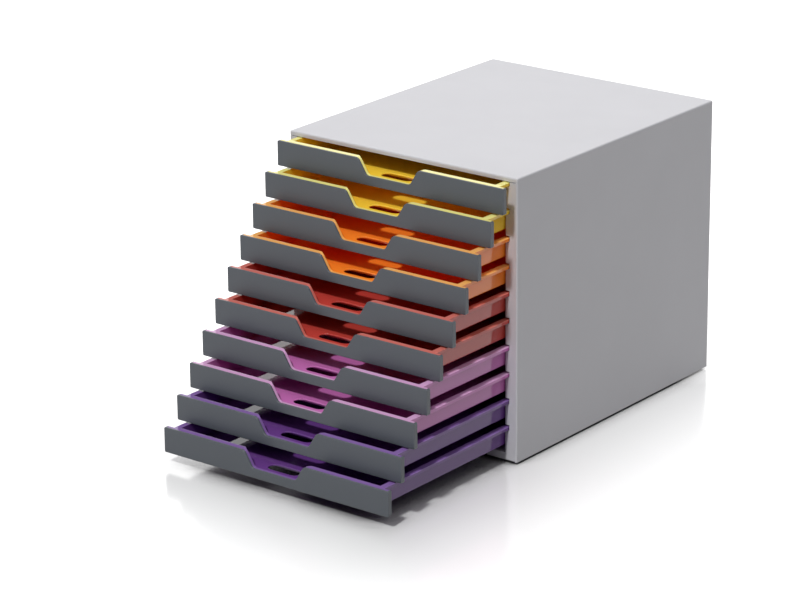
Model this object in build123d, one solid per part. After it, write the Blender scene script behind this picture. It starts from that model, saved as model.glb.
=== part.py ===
from build123d import *
import os

# A desktop drawer box: a light housing with ten shallow coloured trays, each behind a dark front.
# Millimetres. +Z is up, the drawers pull out along -Y and X is the width. The origin is on the
# surface that the box stands on, under the middle of the housing. The drawers are drawn in the
# stepped order of the photograph, the top one least open and the bottom one most.

# Housing
HOUSING_WIDTH = 280.0
HOUSING_DEPTH = 340.0
TOP_THICKNESS = 4.6
SKIN_THICKNESS = 2.0
RUNNER_WIDTH = 11.5
REAR_THICKNESS = 3.0
BASE_HEIGHT = 8.0
BASE_PLATE = 2.5
BASE_SKIRT = 3.0
BASE_RIB = 2.0
BASE_RIBS = 5
HOUSING_EDGE_RADIUS = 1.6
SEAM_GAP = 0.6

# Tongues that locate the top and the base in the runner frames
TONGUE_THICKNESS = 2.0
TONGUE_HEIGHT = 5.0
TONGUE_INSET = 1.5
TONGUE_END_GAP = 20.0
TONGUE_CLEARANCE = 0.2

# Rubber feet
FOOT_RADIUS = 9.0
FOOT_STANDOFF = 2.5
FOOT_RECESS = 1.0
FOOT_INSET = 22.0
FOOT_BOSS_WALL = 2.0
FOOT_CLEARANCE = 0.3
FOOT_EDGE_RADIUS = 0.8

# Drawers
DRAWER_COUNT = 10
DRAWER_PITCH = 27.6
TOP_CLEARANCE = 0.8
BOTTOM_CLEARANCE = 1.7
FIRST_PULL = 15.5
PULL_STEP = 20.0
FULL_PULL = 240.0

# Dark drawer fronts
FRONT_INSET = 1.0
FRONT_GAP = 1.6
FRONT_WALL = 2.0
FRONT_CLEARANCE = 0.5
FRONT_CORNER_RADIUS = 1.5
FRONT_EDGE_RADIUS = 0.7
HOOK_WIDTH = 12.0
HOOK_HEIGHT = 1.0
HOOK_DEPTH = 1.1
HOOK_CLEARANCE = 0.1
HOOK_SPREAD = 64.0
HOOK_COUNT = 4
NOTCH_TOP_WIDTH = 73.5
NOTCH_BOTTOM_WIDTH = 53.0
NOTCH_DEPTH = 16.4
NOTCH_CORNER_RADIUS = 5.5

# Coloured trays
TRAY_GAP = 7.1
TRAY_WALL = 1.8
TRAY_FLOOR = 1.8
TRAY_DRAFT = 1.0
TRAY_SIDE_CLEARANCE = 1.0
TRAY_REAR_CLEARANCE = 3.0
TRAY_CORNER_RADIUS = 8.0
TRAY_BOTTOM_RADIUS = 1.4
TRAY_INNER_RADIUS = 2.2
TRAY_FIT = 0.2
LIP_THICKNESS = 1.8
LIP_DEPTH = 6.0
LIP_TAPER = 6.0
REAR_RIM = 2.0
FLANGE_WIDTH = 4.9
FLANGE_THICKNESS = 1.6
FLANGE_DROP = 3.8
FLANGE_EDGE = 1.5
FLANGE_EDGE_RADIUS = 0.7
LEDGE_WIDTH = 124.0
LEDGE_DEPTH = 26.0
LEDGE_HEIGHT = 1.7
LEDGE_EDGE_RADIUS = 1.2
LEDGE_SHEET = 1.3
LEDGE_WALL = 2.0
HOLE_WIDTH = 38.0
HOLE_DEPTH = 13.6
HOLE_SETBACK = 10.4
HOLE_EDGE_RADIUS = 0.5

# Grooves of the runner frames and the stops in them
FLANGE_SIDE_CLEARANCE = 0.6
FLANGE_TOP_CLEARANCE = 1.8
FLANGE_REST_CLEARANCE = 0.3
RUNNER_WALL = 2.0
LUG_LENGTH = 8.0
LUG_DROP = 2.5
LUG_WIDTH = 2.5
LUG_CLEARANCE = 0.3
LUG_FLOOR_CLEARANCE = 0.7
LUG_SETBACK = 2.0

OVERRUN = 1.0  # how far a cutting solid passes the face it cuts
NEAR = 0.1  # how close to a plane an edge or corner counts as on it

# Sizes that follow from the ones above
FRONT_HEIGHT = DRAWER_PITCH - FRONT_GAP
FRONT_WIDTH = HOUSING_WIDTH - 2 * FRONT_INSET
FRONT_DEPTH = FRONT_WALL + TRAY_WALL + HOOK_CLEARANCE + HOOK_DEPTH
TRAY_HEIGHT = DRAWER_PITCH - TRAY_GAP
BASE_TOP = FOOT_STANDOFF + BASE_HEIGHT
LOWEST_TOP = BASE_TOP + BOTTOM_CLEARANCE + FRONT_HEIGHT
HIGHEST_TOP = LOWEST_TOP + (DRAWER_COUNT - 1) * DRAWER_PITCH
TOP_UNDERSIDE = HIGHEST_TOP + TOP_CLEARANCE
HOUSING_HEIGHT = TOP_UNDERSIDE + TOP_THICKNESS
HOUSING_FRONT = -HOUSING_DEPTH / 2
HOUSING_BACK = HOUSING_DEPTH / 2
REAR_FACE = HOUSING_BACK - REAR_THICKNESS
SKIN_INSIDE = HOUSING_WIDTH / 2 - SKIN_THICKNESS
RUNNER_INSIDE = SKIN_INSIDE - RUNNER_WIDTH
CLOSED_DEPTH = FRONT_DEPTH + FRONT_CLEARANCE
TRAY_HALF = RUNNER_INSIDE - TRAY_SIDE_CLEARANCE
TRAY_END = CLOSED_DEPTH + HOUSING_DEPTH - REAR_THICKNESS - TRAY_REAR_CLEARANCE
PAN_END = TRAY_END - REAR_RIM
FLANGE_OUTSIDE = TRAY_HALF + FLANGE_WIDTH
GROOVE_OUTSIDE = FLANGE_OUTSIDE + FLANGE_SIDE_CLEARANCE
GROOVE_FLOOR = -(FLANGE_DROP + FLANGE_REST_CLEARANCE)
FLOOR_TOP = -TRAY_HEIGHT + TRAY_FLOOR
LEDGE_TOP = FLOOR_TOP + LEDGE_HEIGHT
LUG_BOTTOM = -(FLANGE_DROP + LUG_DROP)
LUG_OUTSIDE = TRAY_HALF + LUG_WIDTH
LUG_FRONT = PAN_END - TRAY_CORNER_RADIUS - LUG_SETBACK - LUG_LENGTH
STOP_FACE = HOUSING_FRONT - CLOSED_DEPTH + LUG_FRONT - FULL_PULL - LUG_CLEARANCE
TONGUE_OUTSIDE = SKIN_INSIDE - TONGUE_INSET
FROM_BELOW = (Align.CENTER, Align.CENTER, Align.MIN)


def block(x, y, z):
    """A box from three (low, high) pairs."""
    size = (x[1] - x[0], y[1] - y[0], z[1] - z[0])
    return Pos(x[0], y[0], z[0]) * Box(*size, align=(Align.MIN, Align.MIN, Align.MIN))


def slab(profile, y_front, y_back):
    """A profile drawn as (x, z), made solid from one depth to another."""
    return Pos(0, y_back, 0) * Rot(90, 0, 0) * extrude(profile, y_back - y_front)


def polygon(points):
    return make_face(Polyline(*points, close=True))


def mirrored(solid):
    return mirror(solid, about=Plane.YZ)


def drawer_top(number):
    """Height of a drawer's top edge; drawer 0 is the highest."""
    return HIGHEST_TOP - number * DRAWER_PITCH


def drawer_front_y(number):
    """Where the outer face of a drawer's front is, in the photographed order."""
    return HOUSING_FRONT - CLOSED_DEPTH - FIRST_PULL - number * PULL_STEP


def notched_outline(half_width, height, corner_radius):
    """The view of a drawer from the front, with its top edge at z = 0 and the finger notch cut in."""
    top = NOTCH_TOP_WIDTH / 2
    bottom = NOTCH_BOTTOM_WIDTH / 2
    outline = polygon([
        (-half_width, -height),
        (half_width, -height),
        (half_width, 0),
        (top, 0),
        (bottom, -NOTCH_DEPTH),
        (-bottom, -NOTCH_DEPTH),
        (-top, 0),
        (-half_width, 0),
    ])
    notch_corners = outline.vertices().filter_by(lambda v: abs(v.X) < (top + half_width) / 2)
    outline = fillet(notch_corners, NOTCH_CORNER_RADIUS)
    if corner_radius:
        outer_corners = outline.vertices().filter_by(lambda v: abs(v.X) > half_width - NEAR)
        outline = fillet(outer_corners, corner_radius)
    return outline


def drawer_front():
    """A dark front: a notched plate with returns at both ends and below, and hooks for the tray."""
    half = FRONT_WIDTH / 2
    shell = slab(notched_outline(half, FRONT_HEIGHT, FRONT_CORNER_RADIUS), 0, FRONT_DEPTH)
    face_edges = shell.faces().sort_by(Axis.Y)[0].edges()
    shell = fillet(face_edges, FRONT_EDGE_RADIUS)
    hollow = block(
        (-half + FRONT_WALL, half - FRONT_WALL),
        (FRONT_WALL, FRONT_DEPTH + OVERRUN),
        (-FRONT_HEIGHT + FRONT_WALL, OVERRUN),
    )
    front = shell - hollow
    for number in range(HOOK_COUNT):
        middle = HOOK_SPREAD * (number - (HOOK_COUNT - 1) / 2)
        front += block(
            (middle - HOOK_WIDTH / 2, middle + HOOK_WIDTH / 2),
            (FRONT_DEPTH - HOOK_DEPTH, FRONT_DEPTH),
            (-FRONT_HEIGHT + FRONT_WALL / 2, -FRONT_HEIGHT + FRONT_WALL + TRAY_FIT + HOOK_HEIGHT),
        )
    return front


def level_rectangle(half_width, y_front, y_back, z):
    rectangle = polygon([
        (-half_width, y_front),
        (half_width, y_front),
        (half_width, y_back),
        (-half_width, y_back),
    ])
    return Pos(0, 0, z) * rectangle


def pan_solid(half_top, half_bottom, y_front, end_top, end_bottom, depth, corner_radius, bottom_radius):
    """A tapered block: wider at the top, upright at the front and rounded at the rear and below."""
    top = level_rectangle(half_top, y_front, end_top, 0)
    bottom = level_rectangle(half_bottom, y_front, end_bottom, -depth)
    solid = loft([bottom, top], ruled=True)
    middle = (y_front + end_top) / 2
    corners = solid.edges().filter_by(
        lambda e: e.center().Y > middle and -depth + NEAR < e.center().Z < -NEAR
    )
    solid = fillet(corners, corner_radius)
    low_edges = solid.faces().sort_by(Axis.Z)[0].edges()
    low_edges = low_edges.filter_by(lambda e: e.center().Y > y_front + NEAR)
    return fillet(low_edges, bottom_radius)


def tray_pan():
    """The open pan of a tray, without its front wall."""
    floor_draft = TRAY_DRAFT * TRAY_FLOOR / TRAY_HEIGHT
    outer = pan_solid(
        TRAY_HALF, TRAY_HALF - TRAY_DRAFT, FRONT_WALL, PAN_END, PAN_END - TRAY_DRAFT,
        TRAY_HEIGHT, TRAY_CORNER_RADIUS, TRAY_BOTTOM_RADIUS,
    )
    inner = pan_solid(
        TRAY_HALF - TRAY_WALL, TRAY_HALF - TRAY_WALL - TRAY_DRAFT + floor_draft,
        -TRAY_WALL, PAN_END - TRAY_WALL, PAN_END - TRAY_WALL - TRAY_DRAFT + floor_draft,
        TRAY_HEIGHT - TRAY_FLOOR, TRAY_CORNER_RADIUS - TRAY_WALL, TRAY_INNER_RADIUS,
    )
    return outer - inner


def tray_front_wall():
    """The coloured wall inside the dark front, with the lip that shows along its top and notch."""
    half = FRONT_WIDTH / 2 - FRONT_WALL - TRAY_FIT
    height = FRONT_HEIGHT - FRONT_WALL - TRAY_FIT
    wall_back = FRONT_WALL + TRAY_WALL
    wall = slab(notched_outline(half, height, 0), FRONT_WALL, wall_back)
    wide_lip = lip_band(half, height, FRONT_DEPTH)
    deep_lip = lip_band(TRAY_HALF, TRAY_HEIGHT, FRONT_WALL + LIP_DEPTH) - notch_relief()
    return wall + wide_lip + deep_lip


def notch_relief():
    """What is cut from the deep lip, so that it narrows towards the notch and stays narrow in it."""
    corner = NOTCH_TOP_WIDTH / 2
    outline = polygon([
        (-corner, FRONT_DEPTH),
        (corner, FRONT_DEPTH),
        (corner + LIP_TAPER, FRONT_WALL + LIP_DEPTH + OVERRUN),
        (-corner - LIP_TAPER, FRONT_WALL + LIP_DEPTH + OVERRUN),
    ])
    return Pos(0, 0, -TRAY_HEIGHT) * extrude(outline, TRAY_HEIGHT + OVERRUN)


def lip_band(half, height, y_back):
    """A band that follows the notched edge, LIP_THICKNESS deep below it."""
    outline = notched_outline(half, height, 0)
    lowered = offset(outline, -LIP_THICKNESS)
    y_front = FRONT_WALL + TRAY_WALL / 2
    band = slab(outline, y_front, y_back) - slab(lowered, y_front - OVERRUN, y_back + OVERRUN)
    below = block(
        (-half - OVERRUN, half + OVERRUN),
        (y_front - OVERRUN, y_back + OVERRUN),
        (-height - OVERRUN, -NOTCH_DEPTH - LIP_THICKNESS),
    )
    ends = [
        block(
            sorted((side * (half - LIP_THICKNESS - OVERRUN), side * (half + OVERRUN))),
            (y_front - OVERRUN, y_back + OVERRUN),
            (-height, -LIP_THICKNESS),
        )
        for side in (-1, 1)
    ]
    return band - below - ends[0] - ends[1]


def side_flange():
    """The flange along one top side, which slides in a groove of the runner frame."""
    profile = polygon([
        (TRAY_HALF - TRAY_WALL / 2, 0),
        (FLANGE_OUTSIDE, 0),
        (FLANGE_OUTSIDE, -FLANGE_DROP),
        (FLANGE_OUTSIDE - FLANGE_EDGE, -FLANGE_DROP),
        (FLANGE_OUTSIDE - FLANGE_EDGE, -FLANGE_THICKNESS),
        (TRAY_HALF - TRAY_WALL / 2, -FLANGE_THICKNESS),
    ])
    outer = profile.vertices().filter_by(lambda v: v.X > FLANGE_OUTSIDE - NEAR)
    profile = fillet(outer, FLANGE_EDGE_RADIUS)
    flange = slab(profile, FRONT_WALL + TRAY_WALL / 2, PAN_END - TRAY_CORNER_RADIUS)
    lug = block(
        (TRAY_HALF - TRAY_WALL / 2, LUG_OUTSIDE),
        (LUG_FRONT, LUG_FRONT + LUG_LENGTH),
        (LUG_BOTTOM, -FLANGE_THICKNESS / 2),
    )
    return flange + lug


def tray_rear_rim():
    """The short rim along the top of the rear wall."""
    half = TRAY_HALF - TRAY_CORNER_RADIUS
    return block(
        (-half, half),
        (PAN_END - TRAY_WALL / 2, TRAY_END),
        (-FLANGE_THICKNESS, 0),
    )


def finger_ledge():
    """The raised step of the floor behind the notch, with its rear and end edges rounded."""
    half = LEDGE_WIDTH / 2
    ledge = block(
        (-half, half),
        (FRONT_WALL + TRAY_WALL / 2, FRONT_WALL + LEDGE_DEPTH),
        (FLOOR_TOP - TRAY_FLOOR / 2, LEDGE_TOP),
    )
    top_edges = ledge.faces().sort_by(Axis.Z)[-1].edges()
    return fillet(top_edges.sort_by(Axis.Y)[1:], LEDGE_EDGE_RADIUS)


def ledge_hollow():
    """The recess under the ledge, which leaves it a thin sheet like the floor."""
    half = LEDGE_WIDTH / 2 - LEDGE_WALL
    return block(
        (-half, half),
        (FRONT_WALL + TRAY_WALL, FRONT_WALL + LEDGE_DEPTH - LEDGE_WALL),
        (-TRAY_HEIGHT - OVERRUN, LEDGE_TOP - LEDGE_SHEET),
    )


def finger_hole():
    """The rounded slot through the ledge and the floor, as the solid that cuts it."""
    middle = HOLE_SETBACK + HOLE_DEPTH / 2
    depth = TRAY_FLOOR + LEDGE_HEIGHT + 2 * OVERRUN
    slot = extrude(SlotOverall(HOLE_WIDTH, HOLE_DEPTH), depth)
    return Pos(0, middle, -TRAY_HEIGHT - OVERRUN) * slot


def drawer_tray():
    """A coloured tray with its front wall, lip, flanges, stops, ledge and finger hole."""
    tray = tray_pan() + finger_ledge() - ledge_hollow() - finger_hole()
    hole_end = HOLE_SETBACK + HOLE_DEPTH
    rim = tray.edges().filter_by(
        lambda e: abs(e.center().Z - LEDGE_TOP) < NEAR
        and abs(e.center().X) <= HOLE_WIDTH / 2
        and HOLE_SETBACK - NEAR < e.center().Y < hole_end + NEAR
    )
    tray = fillet(rim, HOLE_EDGE_RADIUS)
    flange = side_flange()
    return tray + tray_front_wall() + flange + mirrored(flange) + tray_rear_rim()


def top_panel():
    """The lid of the housing, with a tongue along each side."""
    half = HOUSING_WIDTH / 2
    panel = block((-half, half), (HOUSING_FRONT, HOUSING_BACK), (TOP_UNDERSIDE, HOUSING_HEIGHT))
    upright = panel.edges().filter_by(Axis.Z)
    panel = fillet(upright, HOUSING_EDGE_RADIUS)
    panel = fillet(panel.faces().sort_by(Axis.Z)[-1].edges(), HOUSING_EDGE_RADIUS)
    tongue = tongue_solid(TOP_UNDERSIDE - TONGUE_HEIGHT, TOP_UNDERSIDE + TONGUE_THICKNESS)
    return panel + tongue + mirrored(tongue)


def tongue_solid(z_low, z_high, spare=0.0):
    """A tongue on the right side, or the slot for it when spare is its clearance."""
    return block(
        (TONGUE_OUTSIDE - TONGUE_THICKNESS - spare, TONGUE_OUTSIDE + spare),
        (HOUSING_FRONT + TONGUE_END_GAP - spare, REAR_FACE - TONGUE_END_GAP + spare),
        (z_low, z_high),
    )


def side_panel():
    """The smooth outer skin of the right side."""
    outside = HOUSING_WIDTH / 2
    skin = block(
        (SKIN_INSIDE, outside), (HOUSING_FRONT, HOUSING_BACK), (FOOT_STANDOFF, TOP_UNDERSIDE)
    )
    corners = skin.edges().filter_by(Axis.Z).filter_by(lambda e: e.center().X > outside - NEAR)
    return fillet(corners, HOUSING_EDGE_RADIUS)


def runner_frame():
    """The ribbed inner frame of the right side, with a groove for each drawer's flange."""
    frame = block(
        (RUNNER_INSIDE, SKIN_INSIDE), (HOUSING_FRONT, REAR_FACE), (BASE_TOP, TOP_UNDERSIDE - SEAM_GAP)
    )
    for number in range(DRAWER_COUNT):
        frame -= runner_groove(number)
        frame -= stop_channel(number)
        frame -= runner_pocket(number)
    slot_depth = TONGUE_HEIGHT + TONGUE_CLEARANCE
    frame -= tongue_solid(TOP_UNDERSIDE - slot_depth, HOUSING_HEIGHT, TONGUE_CLEARANCE)
    frame -= tongue_solid(BASE_TOP - OVERRUN, BASE_TOP + slot_depth, TONGUE_CLEARANCE)
    return frame


def runner_groove(number):
    """The groove that a flange slides in; the highest one is open to the lid."""
    top = drawer_top(number)
    ceiling = top + FLANGE_TOP_CLEARANCE
    if number == 0:
        ceiling = HOUSING_HEIGHT
    return block(
        (RUNNER_INSIDE - OVERRUN, GROOVE_OUTSIDE),
        (HOUSING_FRONT - OVERRUN, REAR_FACE + OVERRUN),
        (top + GROOVE_FLOOR, ceiling),
    )


def stop_channel(number):
    """The channel that a stop lug runs in; its front end is the stop."""
    top = drawer_top(number)
    return block(
        (RUNNER_INSIDE - OVERRUN, LUG_OUTSIDE + LUG_CLEARANCE),
        (STOP_FACE, REAR_FACE + OVERRUN),
        (top + LUG_BOTTOM - LUG_FLOOR_CLEARANCE, top + GROOVE_FLOOR + OVERRUN),
    )


def runner_pocket(number):
    """The hollow behind the rib under a groove, closed by the outer skin."""
    top = drawer_top(number)
    high = top + LUG_BOTTOM - LUG_FLOOR_CLEARANCE - RUNNER_WALL
    low = top - DRAWER_PITCH + FLANGE_TOP_CLEARANCE + RUNNER_WALL
    if number == DRAWER_COUNT - 1:
        low = BASE_TOP + TONGUE_HEIGHT + TONGUE_CLEARANCE + RUNNER_WALL
    return block(
        (RUNNER_INSIDE + RUNNER_WALL, SKIN_INSIDE + OVERRUN),
        (HOUSING_FRONT + RUNNER_WALL, REAR_FACE - RUNNER_WALL),
        (low, high),
    )


def foot_places():
    """Where the feet stand, as (x, y)."""
    x = HOUSING_WIDTH / 2 - FOOT_INSET
    y = HOUSING_DEPTH / 2 - FOOT_INSET
    return [(-x, -y), (x, -y), (-x, y), (x, y)]


def base_panel():
    """The base: a plate over a skirt and ribs, with a boss for each foot and two tongues."""
    panel = block((-SKIN_INSIDE, SKIN_INSIDE), (HOUSING_FRONT, REAR_FACE), (FOOT_STANDOFF, BASE_TOP))
    front_edge = panel.edges().filter_by(Axis.X).sort_by(Axis.Z)[:2].sort_by(Axis.Y)[0]
    panel = fillet(front_edge, HOUSING_EDGE_RADIUS)
    hollow = block(
        (-SKIN_INSIDE + BASE_SKIRT, SKIN_INSIDE - BASE_SKIRT),
        (HOUSING_FRONT + BASE_SKIRT, REAR_FACE - BASE_SKIRT),
        (FOOT_STANDOFF - OVERRUN, BASE_TOP - BASE_PLATE),
    )
    panel -= hollow
    rib_span = 2 * (SKIN_INSIDE - BASE_SKIRT)
    for number in range(BASE_RIBS):
        x = rib_span * ((number + 1) / (BASE_RIBS + 1) - 0.5)
        panel += block(
            (x - BASE_RIB / 2, x + BASE_RIB / 2),
            (HOUSING_FRONT + BASE_SKIRT / 2, REAR_FACE - BASE_SKIRT / 2),
            (FOOT_STANDOFF + FOOT_RECESS, BASE_TOP - BASE_PLATE / 2),
        )
    boss_radius = FOOT_RADIUS + FOOT_CLEARANCE + FOOT_BOSS_WALL
    boss_height = BASE_HEIGHT - BASE_PLATE / 2
    for x, y in foot_places():
        panel += Pos(x, y, FOOT_STANDOFF) * Cylinder(boss_radius, boss_height, align=FROM_BELOW)
    for x, y in foot_places():
        recess = Cylinder(FOOT_RADIUS + FOOT_CLEARANCE, FOOT_RECESS + OVERRUN, align=FROM_BELOW)
        panel -= Pos(x, y, FOOT_STANDOFF - OVERRUN) * recess
    tongue = tongue_solid(BASE_TOP - BASE_PLATE, BASE_TOP + TONGUE_HEIGHT)
    return panel + tongue + mirrored(tongue)


def rear_panel():
    """The back wall, between the two side skins and under the lid."""
    return block((-SKIN_INSIDE, SKIN_INSIDE), (REAR_FACE, HOUSING_BACK), (FOOT_STANDOFF, TOP_UNDERSIDE))


def rubber_foot():
    """One rubber foot, standing at z = 0 and let into its boss."""
    foot = Cylinder(FOOT_RADIUS, FOOT_STANDOFF + FOOT_RECESS, align=FROM_BELOW)
    lower_edge = foot.edges().filter_by(GeomType.CIRCLE).sort_by(Axis.Z)[0]
    return fillet(lower_edge, FOOT_EDGE_RADIUS)


def build_nodes():
    """Every piece by its name."""
    right_skin = side_panel()
    right_runner = runner_frame()
    nodes = {
        "top_panel": top_panel(),
        "right_side_panel": right_skin,
        "left_side_panel": mirrored(right_skin),
        "right_runner_frame": right_runner,
        "left_runner_frame": mirrored(right_runner),
        "rear_panel": rear_panel(),
        "base_panel": base_panel(),
    }
    foot = rubber_foot()
    foot_names = ("front_left_foot", "front_right_foot", "rear_left_foot", "rear_right_foot")
    for name, (x, y) in zip(foot_names, foot_places()):
        nodes[name] = Pos(x, y, 0) * foot
    tray = drawer_tray()
    front = drawer_front()
    for number in range(DRAWER_COUNT):
        place = Pos(0, drawer_front_y(number), drawer_top(number))
        nodes[f"tray_{number + 1:02d}"] = place * tray
        nodes[f"drawer_front_{number + 1:02d}"] = place * front
    return nodes


os.makedirs("parts", exist_ok=True)
for name, solid in build_nodes().items():
    export_step(solid, f"parts/{name}.step")
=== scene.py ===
import math
from typing import NamedTuple

import bpy
from mathutils import Matrix, Vector


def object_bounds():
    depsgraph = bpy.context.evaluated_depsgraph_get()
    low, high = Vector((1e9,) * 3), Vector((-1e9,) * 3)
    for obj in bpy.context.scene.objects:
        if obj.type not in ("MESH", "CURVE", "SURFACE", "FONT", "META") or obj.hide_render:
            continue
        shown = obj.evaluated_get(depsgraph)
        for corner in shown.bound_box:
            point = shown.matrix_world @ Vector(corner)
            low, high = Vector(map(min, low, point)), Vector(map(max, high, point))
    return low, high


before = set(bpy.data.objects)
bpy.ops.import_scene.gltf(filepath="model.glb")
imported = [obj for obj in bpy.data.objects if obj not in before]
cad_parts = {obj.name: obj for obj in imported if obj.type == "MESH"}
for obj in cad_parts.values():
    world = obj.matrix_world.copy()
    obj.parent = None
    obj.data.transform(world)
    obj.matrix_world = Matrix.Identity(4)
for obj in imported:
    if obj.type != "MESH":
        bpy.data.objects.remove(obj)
cad_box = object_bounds()

MM = 0.001


class Sun(NamedTuple):
    """A far lamp; its light is what a white surface square to it would send back."""
    name: str
    azimuth: float  # degrees to the right of the box's front
    elevation: float  # degrees
    angle: float  # degrees that the lamp takes up in the sky
    light: float


class Marks(NamedTuple):
    """Noise of one kind in a surface, and the band of its values over which the marks fade in."""
    size: float
    detail: float
    low: float
    high: float
    stretch: tuple = (1.0, 1.0, 1.0)


class Relief(NamedTuple):
    """Small ups and downs in a surface."""
    size: float
    detail: float
    depth: float
    strength: float


class Finish(NamedTuple):
    """What sets one moulded plastic apart from another, besides its colour."""
    roughness: float
    grain_size: float
    grain_depth: float
    edge_wear: float  # how far the worn edges go to the paler tone
    soft_edge: float  # radius that the edges seem to have


# Camera
CAMERA_AZIMUTH = math.radians(38.104)  # to the right of the box's front
CAMERA_ELEVATION = math.radians(19.148)
CAMERA_ROLL = math.radians(-0.531)
CAMERA_DISTANCE = 3.407
CAMERA_TARGET = Vector((-0.0744, -0.0783, 0.1009))
CAMERA_LENS = 149.88
CAMERA_SIGHT = 100.0
SENSOR_WIDTH = 36.0

# Light. The rim lamp stands behind the box, where its level faces mirror to the camera
SUNS = (
    Sun("key", azimuth=8, elevation=53, angle=5, light=0.73),
    Sun("overhead", azimuth=0, elevation=90, angle=110, light=0.36),
    Sun("rim", azimuth=-142, elevation=22, angle=50, light=0.11),
    Sun("fill", azimuth=95, elevation=20, angle=60, light=0.10),
)
SURROUND_LIGHT = 0.11
MAX_BOUNCES = 16
DIFFUSE_BOUNCES = 12

# Floor
FLOOR_SIZE = 30.0
FLOOR_COLOUR = 0.88
FLOOR_BOUNCE = 0.28  # tone that the floor has for the light it sends to the box
FLOOR_GLOSS = 0.33
FLOOR_ROUGHNESS = 0.16
# Painted glow: the seen floor glows more behind and away from the box, hiding the box's shadow there
FLOOR_GLOW = 0.44
GLOW_START = 0.11  # how far back the painted glow that hides the box's shadow behind it starts, and where it is full
GLOW_FULL = 0.21
GLOW_NEAR = 0.0  # how far from the box the painted glow starts to brighten the floor, and where it is full
GLOW_FAR = 0.16
# Painted contact shade: the seen floor is darkened where things close above it shade it
CONTACT_REACH = 0.040  # how far the search goes for what shades the floor from close by
CONTACT_SAMPLES = 4
PAINTED_CONTACT_SHADE = 0.10
CONTACT_SHADED = 0.25  # open share above the floor where it has the painted contact shade, and where its own colour
CONTACT_OPEN = 0.55

# Colours of the moulded plastics and the rubber
HOUSING_GREY = (0.52, 0.516, 0.545)
FRONT_GREY = (0.061, 0.070, 0.083)
RUBBER_BLACK = (0.02, 0.02, 0.021)
TRAY_COLOURS = {
    "yellow": (0.96, 0.64, 0.050),
    "orange": (0.97, 0.25, 0.024),
    "red": (0.52, 0.055, 0.042),
    "pink": (0.55, 0.16, 0.45),
    "purple": (0.135, 0.047, 0.235),
}
# Painted sheen: paler tones on the upward faces of the trays' lips, standing in for the light they catch
LIP_SHEEN_COLOURS = {
    "yellow": (0.84, 0.78, 0.25),
    "orange": (0.88, 0.42, 0.11),
    "red": (0.60, 0.15, 0.12),
    "pink": (0.62, 0.34, 0.58),
    "purple": (0.210, 0.112, 0.34),
}

# Finish of the moulded plastics
HOUSING_FINISH = Finish(
    roughness=0.42, grain_size=0.30 * MM, grain_depth=0.030 * MM, edge_wear=0.20, soft_edge=0.45 * MM
)
FRONT_FINISH = Finish(
    roughness=0.40, grain_size=0.26 * MM, grain_depth=0.030 * MM, edge_wear=0.16, soft_edge=0.40 * MM
)
TRAY_FINISH = Finish(
    roughness=0.035, grain_size=0.9 * MM, grain_depth=0.002 * MM, edge_wear=0.10, soft_edge=0.50 * MM
)
PLASTIC_IOR = 1.5
FLOW = Marks(size=90 * MM, detail=3.0, low=0.35, high=0.65, stretch=(1.6, 1.0, 1.0))
FLOW_DARK = 0.988  # tone of the flow marks, as shares of the plastic's own
FLOW_PALE = 1.01
WEAR = Marks(size=6 * MM, detail=4.0, low=0.38, high=0.62)
WEAR_LEAST = 0.25  # share of the wear that is left where the marks are weakest
WORN_WHITE = 0.35  # how far the worn plastic's tone lies on the way to white
WORN_WIDTH = 1.6  # width of the worn band, as a multiple of the soft edge
EDGE_TURN = 0.85  # cosine of the turn between face and soft edge at which the wear is full
EDGE_SAMPLES = 6
SMUDGES = Marks(size=28 * MM, detail=4.0, low=0.30, high=0.70)
SCRATCHES = Marks(size=1.1 * MM, detail=2.0, low=0.66, high=0.78, stretch=(26.0, 1.0, 1.0))
GLOSS_CHANGE = 0.05  # how much smudges and scratches change the roughness, as a share of it
GRAIN_DETAIL = 3.0
GRAIN_STRENGTH = 0.5
SINK = Relief(size=34 * MM, detail=1.0, depth=0.10 * MM, strength=0.6)  # strength on a fully rough plastic

# Finish of the rubber
RUBBER_ROUGHNESS = 0.85
DUST = Marks(size=2.5 * MM, detail=5.0, low=0.45, high=0.70)
DUST_SHARE = 0.5
DUST_WHITE = 0.08
PORES = Relief(size=0.6 * MM, detail=3.0, depth=0.05 * MM, strength=0.6)

# The trays' lips, by height, where a painted sheen makes their upward faces paler: they repeat with the
# drawers
DRAWER_PITCH = 27.6 * MM
LOWEST_RIM = 38.2 * MM  # height of the lowest tray's rim
LIP_REACH = 16.4 * MM  # how far a lip goes down from the rim, at the notch
LIP_MARGIN = 0.3 * MM
UPWARD_START = 0.25  # upward part of the normal where a face starts to count, and where it counts fully
UPWARD_FULL = 0.45

TRAY_ORDER = ("yellow", "yellow", "orange", "orange", "red", "red", "pink", "pink", "purple", "purple")
HOUSING_NODES = (
    "top_panel",
    "left_side_panel",
    "right_side_panel",
    "left_runner_frame",
    "right_runner_frame",
    "rear_panel",
    "base_panel",
)
FOOT_NODES = ("front_left_foot", "front_right_foot", "rear_left_foot", "rear_right_foot")


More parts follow.
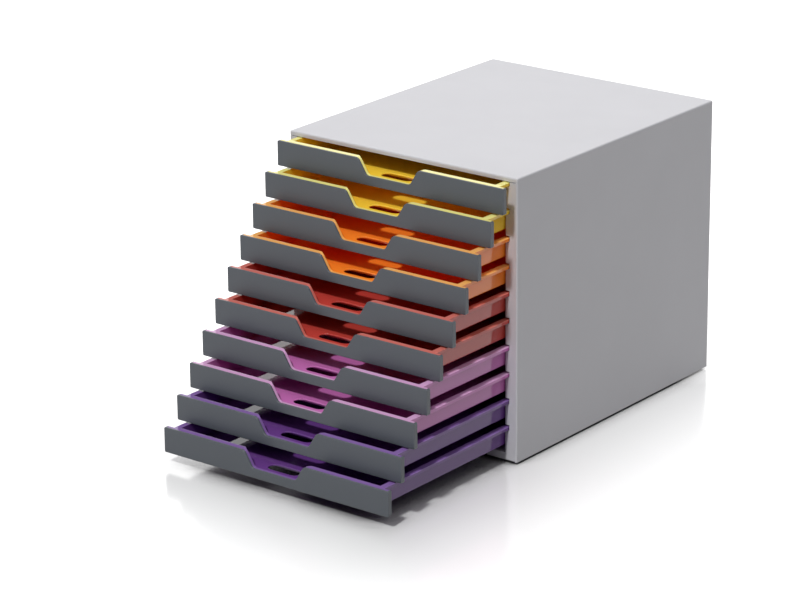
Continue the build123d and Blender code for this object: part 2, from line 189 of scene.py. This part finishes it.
class Graph:
    """The node graph of a material or of the world, with short calls for the nodes used here."""

    def __init__(self, owner):
        owner.use_nodes = True
        self.tree = owner.node_tree
        self.tree.nodes.clear()

    def add(self, kind, **settings):
        node = self.tree.nodes.new(kind)
        for key, value in settings.items():
            setattr(node, key, value)
        return node

    def join(self, source, target):
        self.tree.links.new(source, target)

    def fill(self, sockets, values, plain_kinds):
        """Sets each socket to its value, or joins it where the value comes from another node."""
        for socket, value in zip(sockets, values):
            if isinstance(value, plain_kinds):
                socket.default_value = value
            else:
                self.join(value, socket)

    def place(self):
        """The surface point in the object's own frame, in metres."""
        return self.add("ShaderNodeTexCoord").outputs["Object"]

    def part(self, vector, axis):
        """One of a vector's three numbers."""
        parts = self.add("ShaderNodeSeparateXYZ")
        self.join(vector, parts.inputs[0])
        return parts.outputs[axis]

    def noise(self, size, detail, stretch=(1.0, 1.0, 1.0)):
        """Noise whose features are about size metres across; stretch lengthens them along an axis."""
        mapping = self.add("ShaderNodeMapping")
        mapping.inputs["Scale"].default_value = [1.0 / (size * s) for s in stretch]
        self.join(self.place(), mapping.inputs["Vector"])
        noise = self.add("ShaderNodeTexNoise")
        noise.inputs["Scale"].default_value = 1.0
        noise.inputs["Detail"].default_value = detail
        self.join(mapping.outputs["Vector"], noise.inputs["Vector"])
        return noise.outputs["Fac"]

    def remap(self, value, low, high, to_low=0.0, to_high=1.0):
        node = self.add("ShaderNodeMapRange")
        node.inputs["From Min"].default_value = low
        node.inputs["From Max"].default_value = high
        node.inputs["To Min"].default_value = to_low
        node.inputs["To Max"].default_value = to_high
        self.join(value, node.inputs["Value"])
        return node.outputs["Result"]

    def marks(self, kind, to_low=0.0, to_high=1.0):
        noise = self.noise(kind.size, kind.detail, kind.stretch)
        return self.remap(noise, kind.low, kind.high, to_low, to_high)

    def math(self, operation, *values):
        node = self.add("ShaderNodeMath", operation=operation)
        self.fill(node.inputs, values, (int, float))
        return node.outputs["Value"]

    def vector_math(self, operation, *values):
        """A vector operation; a length or a dot product comes out as a number."""
        node = self.add("ShaderNodeVectorMath", operation=operation)
        self.fill(node.inputs, values, Vector)
        return node.outputs["Value" if operation in ("LENGTH", "DOT_PRODUCT") else "Vector"]

    def mix_colour(self, factor, a, b):
        node = self.add("ShaderNodeMix", data_type="RGBA")
        self.join(factor, node.inputs["Factor"])
        for name, value in (("A", a), ("B", b)):
            socket = next(s for s in node.inputs if s.name == name and s.type == "RGBA")
            if isinstance(value, tuple):
                socket.default_value = (*value, 1.0)
            else:
                self.join(value, socket)
        return next(s for s in node.outputs if s.type == "RGBA")

    def rays(self, *kinds):
        """1 for the kinds of ray named, otherwise 0."""
        path = self.add("ShaderNodeLightPath")
        total = path.outputs[kinds[0]]
        for kind in kinds[1:]:
            total = self.math("MAXIMUM", total, path.outputs[kind])
        return total

    def seen(self):
        """1 for rays from the camera, straight, mirrored or through something clear, otherwise 0."""
        return self.rays("Is Camera Ray", "Is Glossy Ray", "Is Transmission Ray")

    def soft_normal(self, radius):
        """The normal of the surface with its edges rounded to this radius."""
        bevel = self.add("ShaderNodeBevel", samples=EDGE_SAMPLES)
        bevel.inputs["Radius"].default_value = radius
        return bevel.outputs["Normal"]

    def near_edge(self, radius):
        """0 on flat parts, up to 1 along edges."""
        geometry = self.add("ShaderNodeNewGeometry")
        turn = self.vector_math("DOT_PRODUCT", self.soft_normal(radius), geometry.outputs["Normal"])
        return self.remap(turn, 1.0, EDGE_TURN)

    def painted_lip_sheen(self):
        """Painted sheen mask: 1 on the upward faces of the trays' lips, above the floors and finger ledges,
        otherwise 0.
        """
        geometry = self.add("ShaderNodeNewGeometry")
        height = self.part(geometry.outputs["Position"], "Z")
        below_lowest = self.math("SUBTRACT", LOWEST_RIM + LIP_MARGIN, height)
        below_own = self.math("FLOORED_MODULO", below_lowest, DRAWER_PITCH)
        high_enough = self.math("LESS_THAN", below_own, LIP_REACH + 2 * LIP_MARGIN)
        upward = self.remap(self.part(geometry.outputs["Normal"], "Z"), UPWARD_START, UPWARD_FULL)
        return self.math("MULTIPLY", high_enough, upward)

    def bump(self, height, depth, strength, normal=None):
        node = self.add("ShaderNodeBump")
        node.inputs["Strength"].default_value = strength
        node.inputs["Distance"].default_value = depth
        self.join(height, node.inputs["Height"])
        if normal is not None:
            self.join(normal, node.inputs["Normal"])
        return node.outputs["Normal"]

    def surface(self, kind, shader):
        """Joins the shader to the output of a material or of the world."""
        output = self.add(f"ShaderNodeOutput{kind}")
        self.join(shader, output.inputs["Surface"])


def scaled(colour, factor):
    return tuple(channel * factor for channel in colour)


def toward_white(colour, share):
    return tuple(channel + (1.0 - channel) * share for channel in colour)


def plastic_colour(graph, colour, finish, lip_sheen):
    """Faint flow marks, a painted sheen that makes the upward faces of the lips paler, and paler worn edges.
    """
    flow = graph.marks(FLOW)
    body = graph.mix_colour(flow, scaled(colour, FLOW_DARK), scaled(colour, FLOW_PALE))
    if lip_sheen:
        # painted sheen on the upward faces of the lips
        body = graph.mix_colour(graph.painted_lip_sheen(), body, lip_sheen)
    wear = graph.marks(WEAR, to_low=WEAR_LEAST)
    wear = graph.math("MULTIPLY", graph.near_edge(finish.soft_edge * WORN_WIDTH), wear)
    wear = graph.math("MULTIPLY", wear, finish.edge_wear)
    return graph.mix_colour(wear, body, toward_white(colour, WORN_WHITE))


def plastic_roughness(graph, finish):
    """Smudges and fine scratches in the gloss."""
    change = GLOSS_CHANGE * finish.roughness
    smudges = graph.marks(SMUDGES, -change, change)
    scratches = graph.marks(SCRATCHES, 0.0, change)
    return graph.math("ADD", graph.math("ADD", smudges, scratches), finish.roughness)


def plastic_normal(graph, finish):
    """Soft edges, moulded grain, and the slight sink of a cooled wall."""
    grain = graph.noise(finish.grain_size, GRAIN_DETAIL)
    grained = graph.bump(grain, finish.grain_depth, GRAIN_STRENGTH, graph.soft_normal(finish.soft_edge))
    sink = graph.noise(SINK.size, SINK.detail)
    return graph.bump(sink, SINK.depth, SINK.strength * finish.roughness, grained)


def moulded_plastic(name, colour, finish, lip_sheen=None):
    material = bpy.data.materials.new(name)
    graph = Graph(material)
    shader = graph.add("ShaderNodeBsdfPrincipled")
    shader.inputs["IOR"].default_value = PLASTIC_IOR
    graph.join(plastic_colour(graph, colour, finish, lip_sheen), shader.inputs["Base Color"])
    graph.join(plastic_roughness(graph, finish), shader.inputs["Roughness"])
    graph.join(plastic_normal(graph, finish), shader.inputs["Normal"])
    graph.surface("Material", shader.outputs["BSDF"])
    return material


def rubber(name, colour):
    """Dull black rubber with some dust and fine pores."""
    material = bpy.data.materials.new(name)
    graph = Graph(material)
    dust = graph.marks(DUST, to_high=DUST_SHARE)
    pores = graph.noise(PORES.size, PORES.detail)
    shader = graph.add("ShaderNodeBsdfPrincipled")
    shader.inputs["Roughness"].default_value = RUBBER_ROUGHNESS
    graph.join(graph.mix_colour(dust, colour, toward_white(colour, DUST_WHITE)), shader.inputs["Base Color"])
    graph.join(graph.bump(pores, PORES.depth, PORES.strength), shader.inputs["Normal"])
    graph.surface("Material", shader.outputs["BSDF"])
    return material


def dress(node_name, material):
    """Gives a node its material in every slot."""
    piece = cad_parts[node_name]
    if not piece.material_slots:
        piece.data.materials.append(material)
    for slot in piece.material_slots:
        slot.material = material


def dress_nodes():
    housing = moulded_plastic("housing_plastic", HOUSING_GREY, HOUSING_FINISH)
    fronts = moulded_plastic("front_plastic", FRONT_GREY, FRONT_FINISH)
    feet = rubber("foot_rubber", RUBBER_BLACK)
    trays = {
        name: moulded_plastic(f"{name}_plastic", colour, TRAY_FINISH, LIP_SHEEN_COLOURS[name])
        for name, colour in TRAY_COLOURS.items()
    }
    for node_name in HOUSING_NODES:
        dress(node_name, housing)
    for node_name in FOOT_NODES:
        dress(node_name, feet)
    for number, colour_name in enumerate(TRAY_ORDER, start=1):
        dress(f"tray_{number:02d}", trays[colour_name])
        dress(f"drawer_front_{number:02d}", fronts)


def behind_box(graph):
    """Painted glow mask: 0 on the floor under and before the box, 1 behind it, where the glow hides the
    box's shadow.
    """
    return graph.remap(graph.part(graph.place(), "Y"), GLOW_START, GLOW_FULL)


def away_from_box(graph):
    """Painted glow mask: 0 on the floor close to the box, rising to 1 away from it."""
    low, high = (Vector(corner) for corner in cad_box)
    offset = graph.vector_math("SUBTRACT", graph.place(), (low + high) / 2)
    outside = graph.vector_math("SUBTRACT", graph.vector_math("ABSOLUTE", offset), (high - low) / 2)
    beyond = graph.vector_math("MAXIMUM", outside, Vector((0, 0, 0)))
    return graph.remap(graph.vector_math("LENGTH", beyond), GLOW_NEAR, GLOW_FAR)


def floor_tone(graph, seen):
    """White where it is seen, with painted shade that darkens it near the contact, and a moderate bounce to
    the box.
    """
    shade = graph.add("ShaderNodeAmbientOcclusion", samples=CONTACT_SAMPLES)
    shade.inputs["Distance"].default_value = CONTACT_REACH
    open_share = graph.remap(shade.outputs["AO"], CONTACT_SHADED, CONTACT_OPEN)
    seen_tone = graph.mix_colour(open_share, (PAINTED_CONTACT_SHADE,) * 3, (FLOOR_COLOUR,) * 3)
    return graph.mix_colour(seen, (FLOOR_BOUNCE,) * 3, seen_tone)


def floor_material():
    """A glossy white floor with painted contact shade, and a painted glow that hides the box's shadow behind
    it and away from it.
    """
    material = bpy.data.materials.new("floor_white")
    graph = Graph(material)
    seen = graph.seen()
    diffuse = graph.add("ShaderNodeBsdfDiffuse")
    graph.join(floor_tone(graph, seen), diffuse.inputs["Color"])
    gloss = graph.add("ShaderNodeBsdfGlossy")
    gloss.inputs["Color"].default_value = (1, 1, 1, 1)
    gloss.inputs["Roughness"].default_value = FLOOR_ROUGHNESS
    polished = graph.add("ShaderNodeMixShader")
    graph.join(graph.math("MULTIPLY", seen, FLOOR_GLOSS), polished.inputs["Fac"])
    graph.join(diffuse.outputs["BSDF"], polished.inputs[1])
    graph.join(gloss.outputs["BSDF"], polished.inputs[2])
    # painted glow that hides the box's shadow behind and away from it
    painted_glow_share = graph.math("MAXIMUM", behind_box(graph), away_from_box(graph))
    strength = graph.math("MULTIPLY", painted_glow_share, FLOOR_GLOW)
    glow = graph.add("ShaderNodeEmission")
    graph.join(graph.math("MULTIPLY", seen, strength), glow.inputs["Strength"])
    both = graph.add("ShaderNodeAddShader")
    graph.join(polished.outputs["Shader"], both.inputs[0])
    graph.join(glow.outputs["Emission"], both.inputs[1])
    graph.surface("Material", both.outputs["Shader"])
    return material


def make_floor():
    half = FLOOR_SIZE / 2
    mesh = bpy.data.meshes.new("floor")
    corners = [(-half, -half, 0), (half, -half, 0), (half, half, 0), (-half, half, 0)]
    mesh.from_pydata(corners, [], [(0, 1, 2, 3)])
    mesh.materials.append(floor_material())
    floor = bpy.data.objects.new("floor", mesh)
    bpy.context.scene.collection.objects.link(floor)


def make_world():
    """White where it is seen, and an even dim light on everything else."""
    world = bpy.data.worlds.new("studio")
    bpy.context.scene.world = world
    graph = Graph(world)
    background = graph.add("ShaderNodeBackground")
    strength = graph.remap(graph.seen(), 0.0, 1.0, SURROUND_LIGHT, 1.0)
    graph.join(strength, background.inputs["Strength"])
    graph.surface("World", background.outputs["Background"])


def direction(azimuth, elevation):
    """The unit vector towards a place seen at this azimuth, right of the front, and elevation."""
    return Vector((
        math.sin(azimuth) * math.cos(elevation),
        -math.cos(azimuth) * math.cos(elevation),
        math.sin(elevation),
    ))


def add_sun(sun):
    lamp = bpy.data.lights.new(sun.name, "SUN")
    lamp.energy = sun.light * math.pi
    lamp.angle = math.radians(sun.angle)
    toward = direction(math.radians(sun.azimuth), math.radians(sun.elevation))
    holder = bpy.data.objects.new(sun.name, lamp)
    holder.rotation_euler = toward.to_track_quat("Z", "Y").to_euler()
    bpy.context.scene.collection.objects.link(holder)


def make_camera():
    back = direction(CAMERA_AZIMUTH, CAMERA_ELEVATION)
    right = Vector((math.cos(CAMERA_AZIMUTH), math.sin(CAMERA_AZIMUTH), 0))
    up = back.cross(right)
    rolled_right = right * math.cos(CAMERA_ROLL) + up * math.sin(CAMERA_ROLL)
    rolled_up = up * math.cos(CAMERA_ROLL) - right * math.sin(CAMERA_ROLL)
    data = bpy.data.cameras.new("camera")
    data.sensor_width = SENSOR_WIDTH
    data.lens = CAMERA_LENS
    data.clip_end = CAMERA_SIGHT
    camera = bpy.data.objects.new("camera", data)
    turn = Matrix((rolled_right, rolled_up, back)).transposed()
    camera.matrix_world = Matrix.Translation(CAMERA_TARGET + back * CAMERA_DISTANCE) @ turn.to_4x4()
    bpy.context.scene.collection.objects.link(camera)
    bpy.context.scene.camera = camera


def set_bounces():
    """Enough bounces for the light that colours the insides of the trays."""
    cycles = bpy.context.scene.cycles
    cycles.max_bounces = MAX_BOUNCES
    cycles.diffuse_bounces = DIFFUSE_BOUNCES


dress_nodes()
make_floor()
make_world()
for sun in SUNS:
    add_sun(sun)
make_camera()
set_bounces()
bpy.context.scene.view_settings.view_transform = "Standard"
